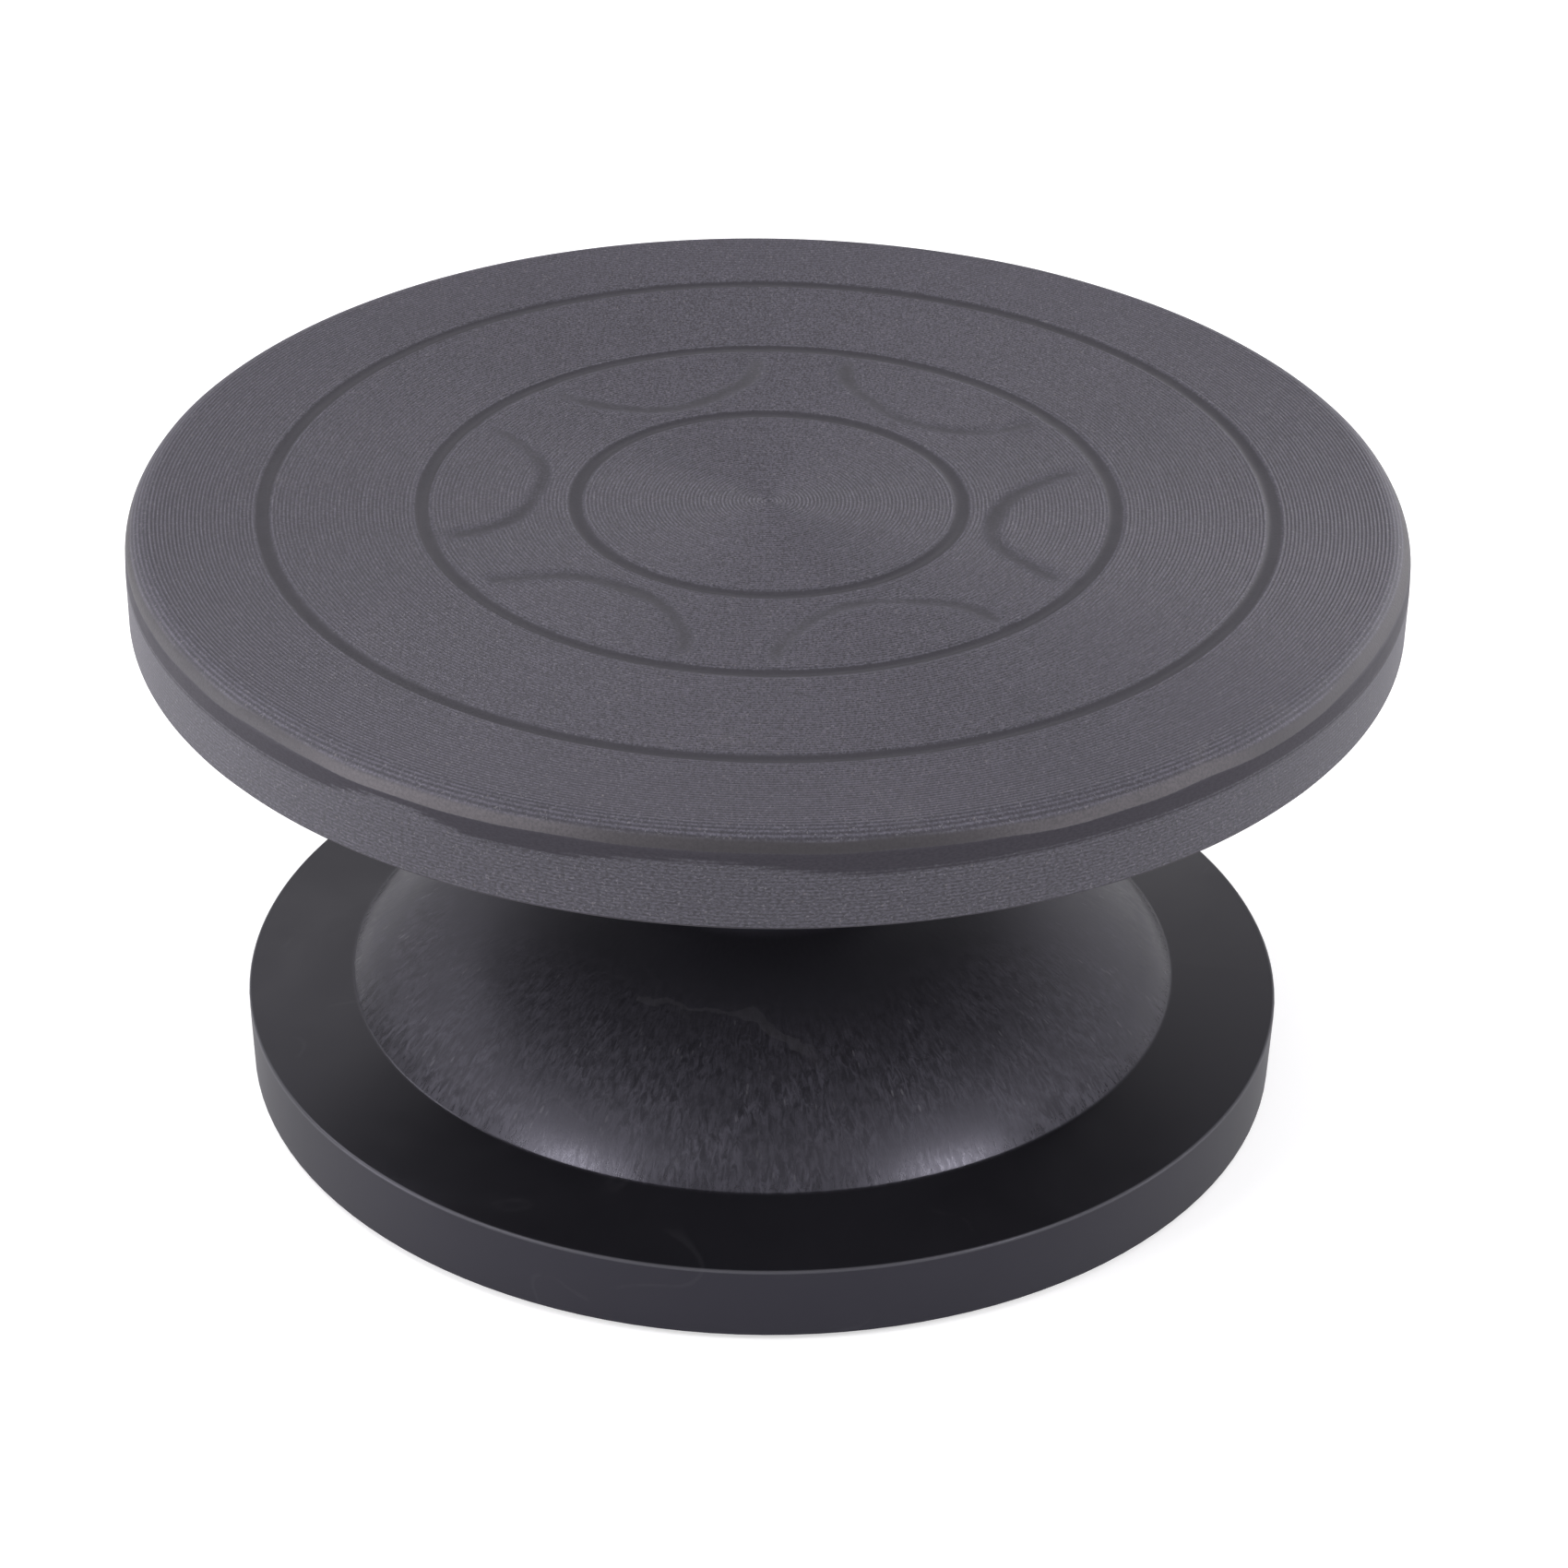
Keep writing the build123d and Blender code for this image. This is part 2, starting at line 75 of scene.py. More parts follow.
# Turned top of the plate
LINE_PITCH = 0.7645 * MM
HALF_PITCH = LINE_PITCH / 2
LINE_DEPTH = 0.19 * MM
GROOVES = (38 * MM, 68 * MM, 99 * MM)
GROOVE_HALF_WIDTH = 2.0 * MM
GROOVE_DEPTH = 0.68 * MM
PIP_RADIUS = 1.1 * MM
PIP_DEPTH = 0.4 * MM
SKIM = 0.06 * MM
SKIM_WAVE = 0.015 * MM

# Six bent hollows in the top
PETALS = 6
PETAL_START = math.radians(-7)
PETAL_SHIFTS = (-1, 1, 0, 0.5, 1, -1)  # degrees off an even spacing
PETAL_CENTRE = 69.8 * MM
PETAL_RADIUS = 25 * MM
PETAL_HALF_WIDTH = 3.8 * MM
PETAL_DEPTH = 0.38 * MM
PETAL_REACH = math.radians(82)
PETAL_FADE = 0.7  # share of the reach after which a petal fades
PETAL_WANDER = 0.8 * MM

# Depths under the turned surface at which the moulded skin starts to show and shows in full
SKIN_DEPTHS = (0.14 * MM, 0.44 * MM)
PETAL_SKIN_DEPTHS = (0.05 * MM, 0.40 * MM)
WALL_SKIN_DEPTHS = (-0.02 * MM, 0.03 * MM)
PETAL_SKIN = 0.75  # how much of the skin shows at most in a petal

# Rounded shoulder of the plate, and the smooth strip left under it
SHOULDER = 5.5 * MM
SHOULDER_SKIM = 0.04 * MM
SHOULDER_WAVE = 0.02 * MM
SHOULDER_LINE = 0.3  # share of a line's depth that also marks the moulded shoulder
SHOULDER_SHARE = 0.98  # share of the shoulder's radius that its rings cover
CORNER_TOP = 2.1 * MM
CORNER_LOW = 4.2 * MM
STRIP_REACH = 3.2 * MM
STRIP_WAVE = 0.25 * MM
MOULD_DRAFT = 0.03

# Places where the strip is shorter: middle and half width in degrees, loss in mm
STRIP_DIPS = (
    (-122, 9, 2.8),
    (-95, 15, 2.3),
    (18, 12, 2.2),
    (64, 10, 2.6),
    (118, 16, 1.8),
    (160, 9, 2.5),
)

# Stretches of the corner above the strip with painted highlights (lightness over 1) and painted shade
# (lightness under 1): middle and half width in degrees, lightness
CORNER_PAINTED_LIGHT = (
    (-118, 17, 2.0),
    (-58, 16, 1.8),
    (-86, 16, 0.7),
    (-158, 28, 0.62),
)

# Turned rim of the plate
RIM_DRAFT = 0.3 * MM
TURNED_DRAFT = RIM_DRAFT / RIM_HEIGHT
RIM_LINE_DEPTH = 0.035 * MM
RIM_WALL = 5 * MM
RIM_CHAMFER = 0.35 * MM
RIM_RAG = 0.12 * MM
RIM_INSET = 0.02 * MM
WALL_START = PLATE_TOP - SHOULDER - 0.5 * MM

# Rings and points of the plate's mesh
SHOULDER_START = PLATE_RADIUS - 8 * MM
SHOULDER_STEPS = 16
WALL_STEPS = 12
FINE_COUNT = 288
HALF_COUNT_RADIUS = 40 * MM
QUARTER_COUNT_RADIUS = 12 * MM
DECK_THICKNESS = 4 * MM
KEPT_MARGIN = 0.1 * MM
WELD = 0.002 * MM
SHARP_ANGLE = math.radians(32)

# Places where a finish starts and where it is there in full
LAND_RADII = (98 * MM, 114 * MM)
TOP_RADII = (SHOULDER_START, SHOULDER_START - 1 * MM)
WALL_HEIGHTS = (PLATE_TOP - 3 * MM, PLATE_TOP - 5 * MM)
DOME_RADII = (85.0 * MM, 83.8 * MM)
DOME_HEIGHTS = (17.5 * MM, 19.5 * MM)
WORN_RADII = (40 * MM, 74 * MM)
FOOT_RADII = (78 * MM, 84 * MM)
# Radii where the painted light on the neck starts and is there in full
NECK_RADII = (32 * MM, 29 * MM)
RING_EDGE = 16.8 * MM

# Dried smear on the dome
SMEAR_RADIUS = 53 * MM
SMEAR_SPREAD = 46 * MM  # further out for each radian past the bend
SMEAR_BEND = math.radians(-92)
SMEAR_LEFT = (math.radians(-119), math.radians(-116))
SMEAR_RIGHT = (math.radians(-77), math.radians(-84))
SMEAR_WIDENS = (math.radians(-100), math.radians(-88))
SMEAR_HALF_WIDTHS = (0.6 * MM, 1.7 * MM)

# Rubbers: dark and light colour
RUBBERS = {
    "foot_rubber": ((0.020, 0.020, 0.020), (0.050, 0.049, 0.047)),
    "seal_rubber": ((0.022, 0.018, 0.017), (0.045, 0.036, 0.034)),
}

# Metals with turned or ground lines: dark and light colour, roughness, pitch and depth of the lines, tarnish
TARNISH = (0.20, 0.17, 0.14)
BRASS_TARNISH = (0.26, 0.16, 0.06)
TURNED_METALS = {
    "turned_steel": ((0.36, 0.36, 0.37), (0.58, 0.58, 0.59), (0.26, 0.42), 0.4 * MM, 0.02 * MM, TARNISH),
    "ground_steel": ((0.48, 0.48, 0.50), (0.66, 0.66, 0.67), (0.16, 0.28), 0.15 * MM, 0.008 * MM, TARNISH),
    "bearing_steel": ((0.52, 0.52, 0.54), (0.70, 0.70, 0.71), (0.12, 0.22), 0.12 * MM, 0.005 * MM, TARNISH),
    "ball_steel": ((0.66, 0.66, 0.68), (0.76, 0.76, 0.77), (0.05, 0.10), 0.5 * MM, 0.001 * MM, TARNISH),
    "cage_brass": ((0.50, 0.34, 0.12), (0.72, 0.52, 0.22), (0.24, 0.38), 0.3 * MM, 0.01 * MM, BRASS_TARNISH),
}

# Plated or phosphated metals: dark and light colour, roughness
PLATED_METALS = {
    "zinc_steel": ((0.44, 0.46, 0.50), (0.64, 0.66, 0.70), (0.24, 0.38)),
    "spring_steel": ((0.045, 0.045, 0.048), (0.11, 0.11, 0.115), (0.34, 0.52)),
}

# Floor and light
FLOOR_GLOW = 0.54
LIGHT_TINT = (0.985, 0.970, 1.0)

# Camera, with the sensor and the lens in mm
AIM_RIGHT = 3.85 * MM
AIM_HEIGHT = 61.13 * MM
VIEW_DISTANCE = 1.0297
VIEW_ELEVATION = math.radians(30.98)
VIEW_AZIMUTH = math.radians(0.25)
VIEW_ROLL = math.radians(0.92)
SENSOR = 36
LENS = 116.6


# Small helpers for numbers

def smooth(value, low, high):
    """Goes from 0 at low to 1 at high without a kink; works on arrays."""
    share = np.clip((value - low) / (high - low), 0, 1)
    return share * share * (3 - 2 * share)


def hump(distance, half_width):
    """A round bump that is 1 at no distance and 0 from half_width on."""
    share = np.clip(np.abs(distance) / half_width, 0, 1)
    return 0.5 + 0.5 * np.cos(math.pi * share)


def dish(distance, half_width):
    """The round valley of a groove: 1 in its middle and 0 from half_width on."""
    return np.clip(1 - (distance / half_width) ** 2, 0, 1)


def ripple(angle, seed, waves=(2, 3, 5, 7, 11)):
    """A gentle closed wave round the circle, mostly between -1 and 1, the same for each seed."""
    phases = np.random.default_rng(seed).uniform(0, TURN, len(waves))
    total = 0
    for index, (wave, phase) in enumerate(zip(waves, phases)):
        total = total + np.sin(wave * angle + phase) / (index + 1.5)
    return total


def apart(angle, centre):
    """Distance round the circle from a centre angle, from 0 to half a turn."""
    return np.abs((angle - centre + math.pi) % TURN - math.pi)


def round_angles(count):
    """Evenly spaced angles, once round the circle."""
    return np.arange(count) * TURN / count


# Plate mesh

def petal_depth(radius, angle):
    """Depth of the six bent hollows where a point lies in one; each fades unevenly along its length."""
    x, y = radius * np.cos(angle), radius * np.sin(angle)
    depth = np.zeros_like(angle)
    for step, shift in enumerate(PETAL_SHIFTS):
        turn = PETAL_START + TURN * step / PETALS + math.radians(shift)
        dx = x - PETAL_CENTRE * math.cos(turn)
        dy = y - PETAL_CENTRE * math.sin(turn)
        heading = np.arctan2(dy, dx)
        across = np.hypot(dx, dy) - PETAL_RADIUS - PETAL_WANDER * ripple(heading, 40 + step, (3, 5, 8))
        swing = apart(heading, turn + math.pi)
        fade = 1 - smooth(swing, PETAL_REACH * PETAL_FADE, PETAL_REACH)
        uneven = 0.88 + 0.16 * ripple(heading, 60 + step, (2, 5, 9, 13))
        depth = np.maximum(depth, PETAL_DEPTH * uneven * fade * hump(across, PETAL_HALF_WIDTH))
    return depth


def moulded_height(radius, angle):
    """Height of the moulded top over the turned plane; the tool removed what stood above it."""
    height = SKIM + SKIM_WAVE * ripple(angle, 3)
    for groove in GROOVES:
        height = height - GROOVE_DEPTH * dish(radius - groove, GROOVE_HALF_WIDTH)
    height = height - petal_depth(radius, angle)
    return height - PIP_DEPTH * hump(radius, PIP_RADIUS)


def strip_reach(angle):
    """How far below the shoulder the moulded strip is left; it is shorter at a few dips."""
    reach = STRIP_REACH + STRIP_WAVE * ripple(angle, 8)
    for centre, half_width, depth in STRIP_DIPS:
        reach = reach - depth * MM * hump(apart(angle, math.radians(centre)), math.radians(half_width))
    return reach


def shoulder_skims(angle):
    """How far the moulded shoulder stood above the turned top, and outside the turned wall (below 0)."""
    over_top = SHOULDER_SKIM + SHOULDER_WAVE * ripple(angle, 5)
    outside = -(MOULD_DRAFT + TURNED_DRAFT) * strip_reach(angle) - TURNED_DRAFT * SHOULDER
    return over_top, outside


def wall_radius(height, line):
    """Radius of the turned rim at a height above its lower edge; line is 1 in a line's valley."""
    return PLATE_RADIUS - RIM_DRAFT * (1 - height / RIM_HEIGHT) - RIM_LINE_DEPTH * line


def top_rings():
    """Rings of the flat top from the centre outwards, every second one in a line's valley."""
    rings = []
    for index in range(1, int(SHOULDER_START / HALF_PITCH) + 1):
        radius = index * HALF_PITCH
        count = FINE_COUNT
        if radius < HALF_COUNT_RADIUS:
            count = FINE_COUNT // 2
        if radius < QUARTER_COUNT_RADIUS:
            count = FINE_COUNT // 4
        angle = round_angles(count)
        tool = -LINE_DEPTH * (index % 2)
        moulded = moulded_height(radius, angle)
        petals = PETAL_SKIN * smooth(petal_depth(radius, angle), *PETAL_SKIN_DEPTHS)
        skin = np.maximum(smooth(-moulded, *SKIN_DEPTHS), petals)
        rings.append((np.full(count, radius), PLATE_TOP + np.minimum(moulded, tool), skin))
    return rings


def shoulder_rings(first_radius, angle):
    """Rings over the rounded shoulder, which the tool marked all the way round."""
    rings = []
    over_top, outside = shoulder_skims(angle)
    for step in range(1, SHOULDER_STEPS + 1):
        radius = np.full(FINE_COUNT, first_radius + step * HALF_PITCH)
        inset = np.clip(radius - (PLATE_RADIUS + outside - SHOULDER), 0, SHOULDER * SHOULDER_SHARE)
        moulded = over_top - SHOULDER + np.sqrt(SHOULDER ** 2 - inset ** 2)
        line = LINE_DEPTH * (step % 2)
        height = PLATE_TOP + np.minimum(moulded - SHOULDER_LINE * line, -line)
        rings.append((radius, height, np.zeros(FINE_COUNT)))
    return rings


def wall_ring(height, angle, line):
    """One ring of the rim, turned or still moulded, at heights that may differ round the circle."""
    over_top, outside = shoulder_skims(angle)
    turned = wall_radius(height - plate_low.z, line)
    below = PLATE_TOP + over_top - height
    drop = np.clip(below, 0, SHOULDER)
    moulded = PLATE_RADIUS + outside - SHOULDER + np.sqrt(SHOULDER ** 2 - (SHOULDER - drop) ** 2)
    moulded = moulded + MOULD_DRAFT * np.maximum(below - SHOULDER, 0)
    skin = smooth(turned - moulded, *WALL_SKIN_DEPTHS)
    return np.minimum(turned, moulded), height, skin


def wall_rings(start_height, angle):
    """Rings down the rim, first from the shoulder's uneven end to a level ring."""
    rings = []
    for step in range(1, WALL_STEPS + 1):
        height = start_height + (WALL_START - start_height) * step / WALL_STEPS
        rings.append(wall_ring(height, angle, step % 2))
    steps = int((WALL_START - plate_low.z - RIM_CHAMFER) / HALF_PITCH)
    for step in range(1, steps + 1):
        height = np.full(FINE_COUNT, WALL_START - step * HALF_PITCH)
        rings.append(wall_ring(height, angle, step % 2))
    return rings


def edge_rings(angle):
    """Rings round the ragged lower edge of the rim and under it, as far as the inner wall."""
    ragged = RIM_RAG * ripple(angle, 21, (5, 9, 17, 31, 47))
    edge = wall_radius(0, 0)
    low = np.full(FINE_COUNT, plate_low.z)
    skin = np.ones(FINE_COUNT)
    return [
        (np.full(FINE_COUNT, edge - RIM_INSET), low + RIM_CHAMFER + ragged * 0.5, skin),
        (edge - RIM_CHAMFER + ragged * 0.3, low, skin),
        (np.full(FINE_COUNT, edge - RIM_WALL + RIM_CHAMFER), low, skin),
    ]


def plate_rings():
    """Rings from the centre out over the top, round the shoulder and down the rim.

    Each is (radii, heights, skin): skin is 1 where the moulded skin is left.
    """
    angle = round_angles(FINE_COUNT)
    rings = top_rings()
    rings += shoulder_rings(rings[-1][0][0], angle)
    rings += wall_rings(rings[-1][1], angle)
    return rings + edge_rings(angle)


def stitch(bm, inner, outer):
    """Faces between two rings of vertices; the outer ring has as many or twice as many."""
    count = len(inner)
    twice = len(outer) == 2 * count
    for index in range(count):
        after = (index + 1) % count
        if twice:
            low, mid, high = 2 * index, 2 * index + 1, (2 * index + 2) % len(outer)
            bm.faces.new((inner[index], outer[low], outer[mid]))
            bm.faces.new((inner[index], outer[mid], inner[after]))
            bm.faces.new((inner[after], outer[mid], outer[high]))
        else:
            bm.faces.new((inner[index], outer[index], outer[after], inner[after]))


def zip_rings(bm, first, second):
    """Triangles between two rings with any number of vertices, walked round by angle."""
    def turn_of(vert):
        return math.atan2(vert.co.y, vert.co.x) % TURN
    first = sorted(first, key=turn_of)
    second = sorted(second, key=turn_of)
    i = j = 0
    while i < len(first) or j < len(second):
        next_first = turn_of(first[i % len(first)]) + TURN * (i // len(first))
        next_second = turn_of(second[j % len(second)]) + TURN * (j // len(second))
        a, b = first[(i - 1) % len(first)], second[(j - 1) % len(second)]
        if j >= len(second) or (i < len(first) and next_first <= next_second):
            bm.faces.new((a, first[i], b))
            i += 1
        else:
            bm.faces.new((a, second[j], b))
            j += 1


def lathe(bm, rings, layer):
    """Vertices and faces of a list of rings; returns each ring's vertices."""
    made = []
    for radii, heights, skin in rings:
        verts = []
        for radius, height, turn, value in zip(radii, heights, round_angles(len(radii)), skin):
            vert = bm.verts.new((radius * math.cos(turn), radius * math.sin(turn), height))
            vert[layer] = value
            verts.append(vert)
        if made:
            stitch(bm, made[-1], verts)
        made.append(verts)
    return made


def cad_inside(node, keep):
    """A welded copy of a CAD node without the faces that keep() refuses, and its skin layer, all 1."""
    bm = bmesh.new()
    bm.from_mesh(frame["nodes"][node].data)
    bmesh.ops.remove_doubles(bm, verts=bm.verts, dist=WELD)
    doomed = [face for face in bm.faces if not all(keep(vert.co) for vert in face.verts)]
    bmesh.ops.delete(bm, geom=doomed, context="FACES")
    layer = bm.verts.layers.float.new("skin")
    for vert in bm.verts:
        vert[layer] = 1
    return bm, layer


def open_loop(bm):
    """The vertices on the only open edge of a bmesh."""
    return list({vert for edge in bm.edges if edge.is_boundary for vert in edge.verts})


def sharpen_lines(bm, rings, layer):
    """Marks the turned lines as sharp edges where no moulded skin is left."""
    for ring in rings:
        for index, vert in enumerate(ring):
            after = ring[(index + 1) % len(ring)]
            if vert[layer] < 0.5 and after[layer] < 0.5:
                bm.edges.get((vert, after)).smooth = False


def finish_mesh(bm, name):
    """Turns a bmesh into a smooth-shaded object with its sharp edges marked."""
    bmesh.ops.recalc_face_normals(bm, faces=bm.faces)
    for face in bm.faces:
        face.smooth = True
    for edge in bm.edges:
        if len(edge.link_faces) == 2 and edge.calc_face_angle() > SHARP_ANGLE:
            edge.smooth = False
    mesh = bpy.data.meshes.new(name)
    bm.to_mesh(mesh)
    bm.free()
    piece = bpy.data.objects.new(name, mesh)
    bpy.context.scene.collection.objects.link(piece)
    return piece


def build_plate():
    """The plate: turned top, shoulder and rim in full detail over the ribbed underside."""
    inner_wall = PLATE_RADIUS - RIM_DRAFT - RIM_WALL
    deck = PLATE_TOP - DECK_THICKNESS

    def keep(point):
        return math.hypot(point.x, point.y) < inner_wall + KEPT_MARGIN and point.z < deck

    bm, layer = cad_inside("turntable_plate", keep)
    loop = open_loop(bm)
    rings = lathe(bm, plate_rings(), layer)
    centre = bm.verts.new((0, 0, PLATE_TOP - PIP_DEPTH))
    centre[layer] = 1
    for index, vert in enumerate(rings[0]):
        bm.faces.new((centre, vert, rings[0][(index + 1) % len(rings[0])]))
    zip_rings(bm, rings[-1], loop)
    sharpen_lines(bm, rings, layer)
    return finish_mesh(bm, "plate")


# Materials

class Graph:
    """A node tree with short calls for the few kinds of node that the materials use."""

    def __init__(self, name):
        self.material = bpy.data.materials.new(name)
        self.material.use_nodes = True
        self.tree = self.material.node_tree
        self.shader = self.tree.nodes["Principled BSDF"]
        self.place = self.tree.nodes.new("ShaderNodeTexCoord").outputs["Object"]

    def feed(self, socket, value):
        """Links a socket to another node's output, or sets its value."""
        if isinstance(value, bpy.types.NodeSocket):
            self.tree.links.new(value, socket)
        elif value is not None:
            if isinstance(value, tuple) and len(value) == 3 and socket.type == "RGBA":
                value = (*value, 1)
            socket.default_value = value

    def math(self, operation, first, second=None, third=None):
        node = self.tree.nodes.new("ShaderNodeMath")
        node.operation = operation
        for socket, value in zip(node.inputs, (first, second, third)):
            self.feed(socket, value)
        return node.outputs[0]

    def vector(self, operation, first, second=None):
        node = self.tree.nodes.new("ShaderNodeVectorMath")
        node.operation = operation
        self.feed(node.inputs[0], first)
        self.feed(node.inputs[1], second)
        return node.outputs["Value"] if operation in ("LENGTH", "DOT_PRODUCT") else node.outputs[0]

    def split(self, vector):
        node = self.tree.nodes.new("ShaderNodeSeparateXYZ")
        self.feed(node.inputs[0], vector)
        return node.outputs

    def join(self, x, y, z):
        node = self.tree.nodes.new("ShaderNodeCombineXYZ")
        for socket, value in zip(node.inputs, (x, y, z)):
            self.feed(socket, value)
        return node.outputs[0]

    def noise(self, size, detail=2.0, rough=0.5, where=None, warp=0.0):
        """Noise between about 0 and 1 with features of a size in metres."""
        node = self.tree.nodes.new("ShaderNodeTexNoise")
        self.feed(node.inputs["Vector"], where or self.place)
        node.inputs["Scale"].default_value = 1 / size
        node.inputs["Detail"].default_value = detail
        node.inputs["Roughness"].default_value = rough
        node.inputs["Distortion"].default_value = warp
        return node.outputs["Fac"]

    def cells(self, size, where=None):
        """Distance to the nearest of scattered points, in cell sizes."""
        node = self.tree.nodes.new("ShaderNodeTexVoronoi")
        self.feed(node.inputs["Vector"], where or self.place)
        node.inputs["Scale"].default_value = 1 / size
        return node.outputs["Distance"]

    def range(self, value, low, high, to_low=0.0, to_high=1.0):
        """Maps low..high to to_low..to_high with soft ends."""
        node = self.tree.nodes.new("ShaderNodeMapRange")
        node.interpolation_type = "SMOOTHSTEP"
        for socket, number in zip(node.inputs, (value, low, high, to_low, to_high)):
            self.feed(socket, number)
        return node.outputs[0]

    def mix(self, share, first, second, blend="MIX"):
        """Mixes two colours."""
        node = self.tree.nodes.new("ShaderNodeMix")
        node.data_type = "RGBA"
        node.blend_type = blend
        self.feed(node.inputs[0], share)
        self.feed(node.inputs[6], first)
        self.feed(node.inputs[7], second)
        return node.outputs[2]

    def cover(self, mask, share, under, over):
        """Lays a share of one colour over another where a mask is 1."""
        return self.mix(self.math("MULTIPLY", mask, share), under, over)

    def blend(self, share, first, second):
        """Mixes two numbers."""
        node = self.tree.nodes.new("ShaderNodeMix")
        self.feed(node.inputs[0], share)
        self.feed(node.inputs[2], first)
        self.feed(node.inputs[3], second)
        return node.outputs[0]

    def scale(self, colour, factor):
        """A colour made lighter or darker by a factor."""
        return self.mix(1.0, colour, self.join(factor, factor, factor), "MULTIPLY")

    def bump(self, height, distance, strength=1.0, normal=None):
        node = self.tree.nodes.new("ShaderNodeBump")
        node.inputs["Distance"].default_value = distance
        self.feed(node.inputs["Strength"], strength)
        self.feed(node.inputs["Height"], height)
        self.feed(node.inputs["Normal"], normal)
        return node.outputs[0]

    def attribute(self, name):
        node = self.tree.nodes.new("ShaderNodeAttribute")
        node.attribute_name = name
        return node.outputs["Fac"]

    def polar(self):
        """Radius and angle about the spin axis, and height."""
        x, y, z = self.split(self.place)
        radius = self.vector("LENGTH", self.join(x, y, 0.0))
        return radius, self.math("ARCTAN2", y, x), z

    def edges(self, reach):
        """1 close to sharp edges and 0 elsewhere, from the bevelled and the true normal."""
        bevel = self.tree.nodes.new("ShaderNodeBevel")
        bevel.samples = 4
        bevel.inputs["Radius"].default_value = reach
        plain = self.tree.nodes.new("ShaderNodeNewGeometry")
        match = self.vector("DOT_PRODUCT", bevel.outputs[0], plain.outputs["Normal"])
        return self.range(match, 0.99, 0.80)

    def finish(self, colour, roughness, normal=None, metallic=0.0, specular=0.5, tint=(1.0, 1.0, 1.0)):
        """Feeds the shader and returns the material."""
        self.feed(self.shader.inputs["Base Color"], colour)
        self.feed(self.shader.inputs["Roughness"], roughness)
        self.feed(self.shader.inputs["Normal"], normal)
        self.feed(self.shader.inputs["Metallic"], metallic)
        self.feed(self.shader.inputs["Specular IOR Level"], specular)
        self.feed(self.shader.inputs["Specular Tint"], tint)
        return self.material


def plate_grain(g, angle, height, wall):
    """Fine grain of the plate; on the wall it is drawn out along the rim."""
    along_rim = g.join(g.math("MULTIPLY", angle, 58 * MM), height, 0.0)
    top_grain = g.noise(0.52 * MM, 2, 0.6)
    wall_grain = g.noise(0.38 * MM, 2, 0.6, where=along_rim)
    return g.blend(wall, top_grain, wall_grain)


def tool_lines(g, radius, height, wall):
    """Lightness of the turned lines, which stand out more near the centre and on the outer land."""
    top_line = g.range(g.math("PINGPONG", radius, HALF_PITCH), 0.0, HALF_PITCH, 1.22, 0.78)
    wall_line = g.range(g.math("PINGPONG", height, HALF_PITCH), 0.0, HALF_PITCH, 1.22, 0.78)
    near_centre = g.range(radius, 36 * MM, 12 * MM, 1.0, 1.7)
    on_land = g.range(radius, *LAND_RADII, 0.0, 1.1)
    contrast = g.math("ADD", near_centre, on_land)
    return g.blend(wall, g.math("POWER", top_line, contrast), wall_line)


def turned_colour(g, radius, angle, height, wall, grain, cloud):
    """Cut plastic: pale and mottled, with lines, tracks round the plate, specks, dust and smudges."""
    colour = g.mix(cloud, (0.032, 0.0306, 0.0385), (0.040, 0.0378, 0.0475))
    round_plate = g.join(g.math("MULTIPLY", radius, 4.5), g.math("MULTIPLY", angle, 12 * MM), height)
    tracks = g.noise(2.4 * MM, 3, 0.6, where=round_plate)
    colour = g.scale(colour, g.range(tracks, 0.25, 0.75, 0.94, 1.06))
    colour = g.scale(colour, tool_lines(g, radius, height, wall))
    strength = g.blend(wall, g.range(radius, *LAND_RADII, 0.70, 0.45), 0.62)
    mottle = g.math("MULTIPLY", strength, g.range(grain, 0.32, 0.68, -1.0, 1.0))
    colour = g.scale(colour, g.math("ADD", mottle, 1.0))
    speck = g.range(g.noise(0.46 * MM, 1, 0.5), 0.62, 0.74)
    colour = g.cover(speck, 0.42, colour, (0.16, 0.155, 0.165))
    dust = g.range(g.cells(2.6 * MM), 0.13, 0.04)
    colour = g.cover(dust, 0.25, colour, (0.20, 0.18, 0.17))
    colour = g.scale(colour, g.blend(wall, 1.0, 0.96))
    smudge = g.range(g.noise(34 * MM, 5, 0.7, warp=1.2), 0.60, 0.78)
    return g.cover(smudge, 0.12, colour, (0.13, 0.12, 0.115))


def moulded_colour(g, grain, cloud, on_top):
    """Moulded skin: smooth and dark, and darker still in the grooves and petals of the top, partly its own
    tone and partly painted shade in these hollows.
    """
    colour = g.mix(cloud, (0.027, 0.025, 0.031), (0.033, 0.031, 0.038))
    # Darker in the hollows of the top: partly the skin's tone, partly painted shade
    shade = g.blend(on_top, 1.0, 0.66)
    return g.scale(colour, g.math("MULTIPLY", shade, g.range(grain, 0.3, 0.7, 0.85, 1.15)))


def corner_masks(g, height):
    """1 in the scuffed band of the shoulder, and 1 below that band; both wander up and down."""
    wander = g.range(g.noise(34 * MM, 1), 0.3, 0.7, -0.5 * MM, 0.5 * MM)
    drop = g.math("ADD", g.math("SUBTRACT", PLATE_TOP, height), wander)
    below_top = g.range(drop, CORNER_TOP - 0.5 * MM, CORNER_TOP + 0.3 * MM)
    below_corner = g.range(drop, CORNER_LOW - 0.15 * MM, CORNER_LOW + 0.15 * MM)
    return g.math("SUBTRACT", below_top, below_corner), below_corner


